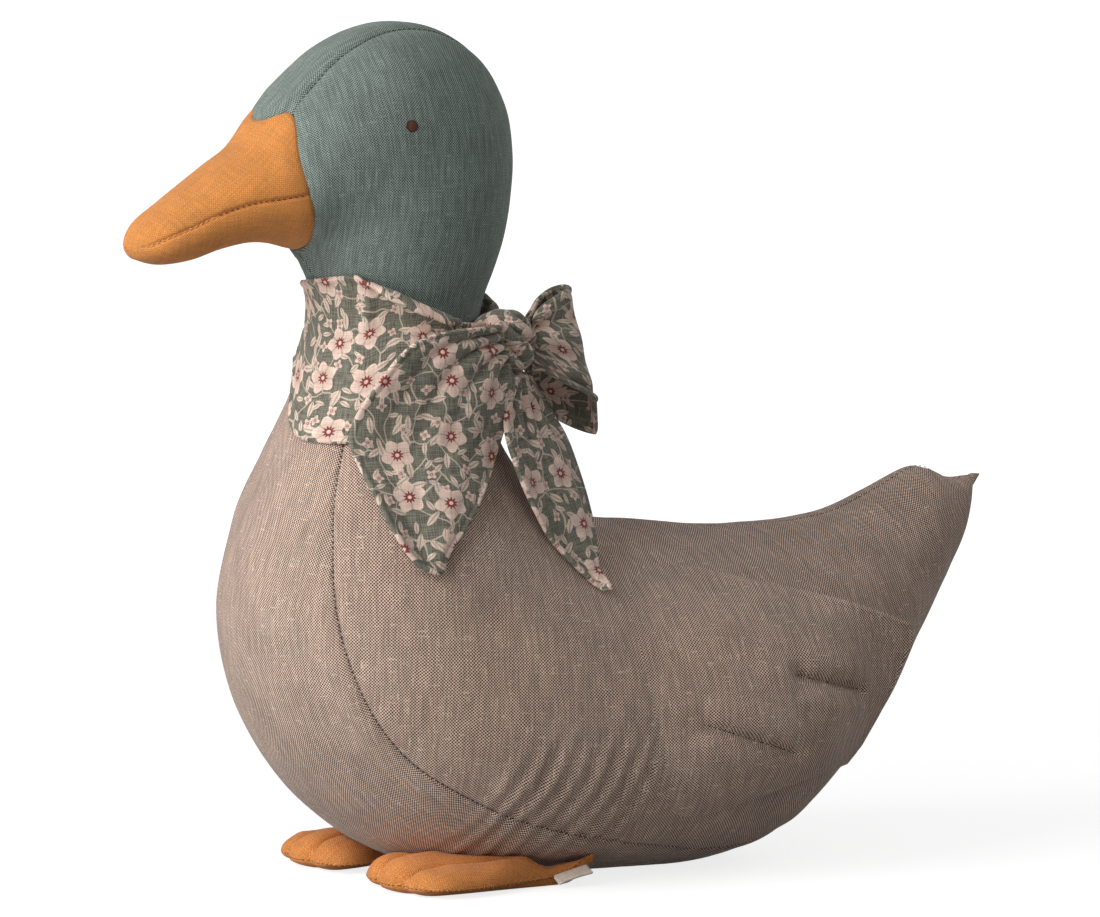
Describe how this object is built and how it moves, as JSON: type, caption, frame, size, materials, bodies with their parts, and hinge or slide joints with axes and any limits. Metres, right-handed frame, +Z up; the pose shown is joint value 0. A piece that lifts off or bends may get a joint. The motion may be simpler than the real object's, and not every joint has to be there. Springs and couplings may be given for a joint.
{
  "type": "plush duck",
  "caption": "Stuffed linen duck with a swelling body, quilted wings, webbed feet, a curved neck, a stuffed beak and a neck scarf tied in a bow.",
  "frame": {"origin": "on the floor, under the middle of the duck's overall box", "axes": "+Z up, +Y towards the tail, +X towards the duck's left side"},
  "size_m": [0.2236, 0.451, 0.405],
  "materials": {
    "body_linen": "woven slubbed linen, grey-brown",
    "head_linen": "woven linen, muted teal green",
    "beak_linen": "woven linen, mustard ochre",
    "foot_linen": "brushed linen, mustard ochre",
    "scarf_cotton": "printed cotton, small blossoms on grey green",
    "filling": "fibre filling",
    "label_tape": "plain woven tape",
    "eye_thread": "wound embroidery thread, dark brown"
  },
  "bodies": {
    "body": {"body_side_left": "body_linen", "body_side_right": "body_linen", "breast_belly_gusset": "body_linen", "body_filling": "filling", "head_side_left": "head_linen", "head_side_right": "head_linen", "head_gusset": "head_linen", "head_filling": "filling", "beak_upper": "beak_linen", "beak_lower": "beak_linen", "beak_filling": "filling", "eye_left": "eye_thread", "eye_right": "eye_thread", "scarf_neck_band": "scarf_cotton", "bow_knot": "scarf_cotton"},
    "wing_left": {"wing_left_outer": "body_linen", "wing_left_lining": "body_linen", "wing_left_wadding": "filling"},
    "wing_right": {"wing_right_outer": "body_linen", "wing_right_lining": "body_linen", "wing_right_wadding": "filling"},
    "foot_left": {"foot_left_top": "foot_linen", "foot_left_sole": "foot_linen", "foot_left_filling": "filling"},
    "foot_right": {"foot_right_top": "foot_linen", "foot_right_sole": "foot_linen", "foot_right_filling": "filling"},
    "bow_loop": {"bow_loop": "scarf_cotton"},
    "bow_tail_front": {"bow_tail_front": "scarf_cotton"},
    "bow_tail_rear": {"bow_tail_rear": "scarf_cotton"},
    "label": {"label_tape": "label_tape"}
  },
  "joints": [
    {"name": "wing_left_lift", "type": "hinge", "parent": "body", "child": "wing_left", "pos_m": [0.1095, -0.0135, 0.0866], "axis": [0, 0.173, -0.9849], "range_deg": [0, 18], "stiffness_Nm_per_rad": 0.05},
    {"name": "wing_right_lift", "type": "hinge", "parent": "body", "child": "wing_right", "pos_m": [-0.1095, -0.0135, 0.0866], "axis": [0, -0.173, 0.9849], "range_deg": [0, 18], "stiffness_Nm_per_rad": 0.05},
    {"name": "foot_left_flex", "type": "hinge", "parent": "body", "child": "foot_left", "pos_m": [0.06, -0.0155, 0.012], "axis": [-1, 0, 0], "range_deg": [-20, 0], "stiffness_Nm_per_rad": 0.3},
    {"name": "foot_right_flex", "type": "hinge", "parent": "body", "child": "foot_right", "pos_m": [-0.06, -0.0155, 0.012], "axis": [-1, 0, 0], "range_deg": [-20, 0], "stiffness_Nm_per_rad": 0.3},
    {"name": "bow_loop_swing", "type": "hinge", "parent": "body", "child": "bow_loop", "pos_m": [0.0392, -0.0393, 0.256], "axis": [0, 0, 1], "range_deg": [-12, 12], "stiffness_Nm_per_rad": 0.01},
    {"name": "bow_tail_front_lift", "type": "hinge", "parent": "body", "child": "bow_tail_front", "pos_m": [0.05, -0.0559, 0.256], "axis": [0, 0, 1], "range_deg": [0, 25], "stiffness_Nm_per_rad": 0.01},
    {"name": "bow_tail_rear_lift", "type": "hinge", "parent": "body", "child": "bow_tail_rear", "pos_m": [0.0415, -0.046, 0.242], "axis": [0.7071, -0.7071, 0], "range_deg": [0, 25], "stiffness_Nm_per_rad": 0.01},
    {"name": "label_bend", "type": "hinge", "parent": "foot_left", "child": "label", "pos_m": [0.0752, -0.0275, 0.004], "axis": [0, -1, 0], "range_deg": [0, 30], "stiffness_Nm_per_rad": 0.001}
  ]
}
